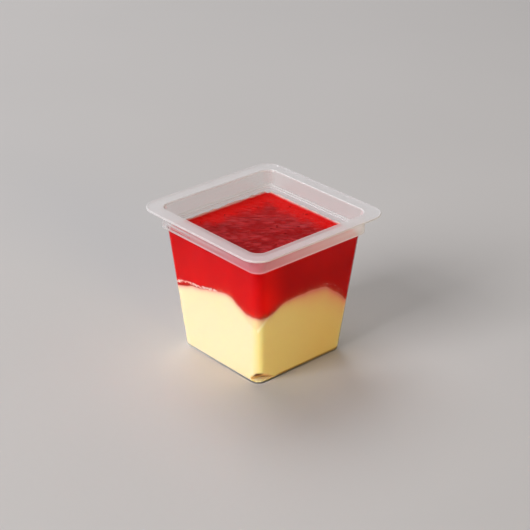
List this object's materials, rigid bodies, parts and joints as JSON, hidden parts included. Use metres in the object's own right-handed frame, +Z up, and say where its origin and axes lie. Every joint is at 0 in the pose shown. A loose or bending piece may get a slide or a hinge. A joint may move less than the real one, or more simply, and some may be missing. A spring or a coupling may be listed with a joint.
{
  "type": "dessert cup",
  "caption": "Small square clear plastic cup with a flat lip, filled with pale custard under a layer of glossy red fruit sauce.",
  "frame": {"origin": "centre of the cup's footprint, on the surface it stands on", "axes": "+Z up, X and Y square to the cup's four sides"},
  "size_m": [0.061, 0.061, 0.054],
  "materials": {
    "clear_plastic": "clear, slightly milky moulded plastic with a soft gloss",
    "custard_cream": "smooth pale yellow set custard, faintly glossy",
    "fruit_sauce": "glossy red fruit sauce with shallow wrinkles"
  },
  "bodies": {
    "root": {"cup": "clear_plastic", "custard": "custard_cream", "sauce": "fruit_sauce"}
  },
  "joints": []
}
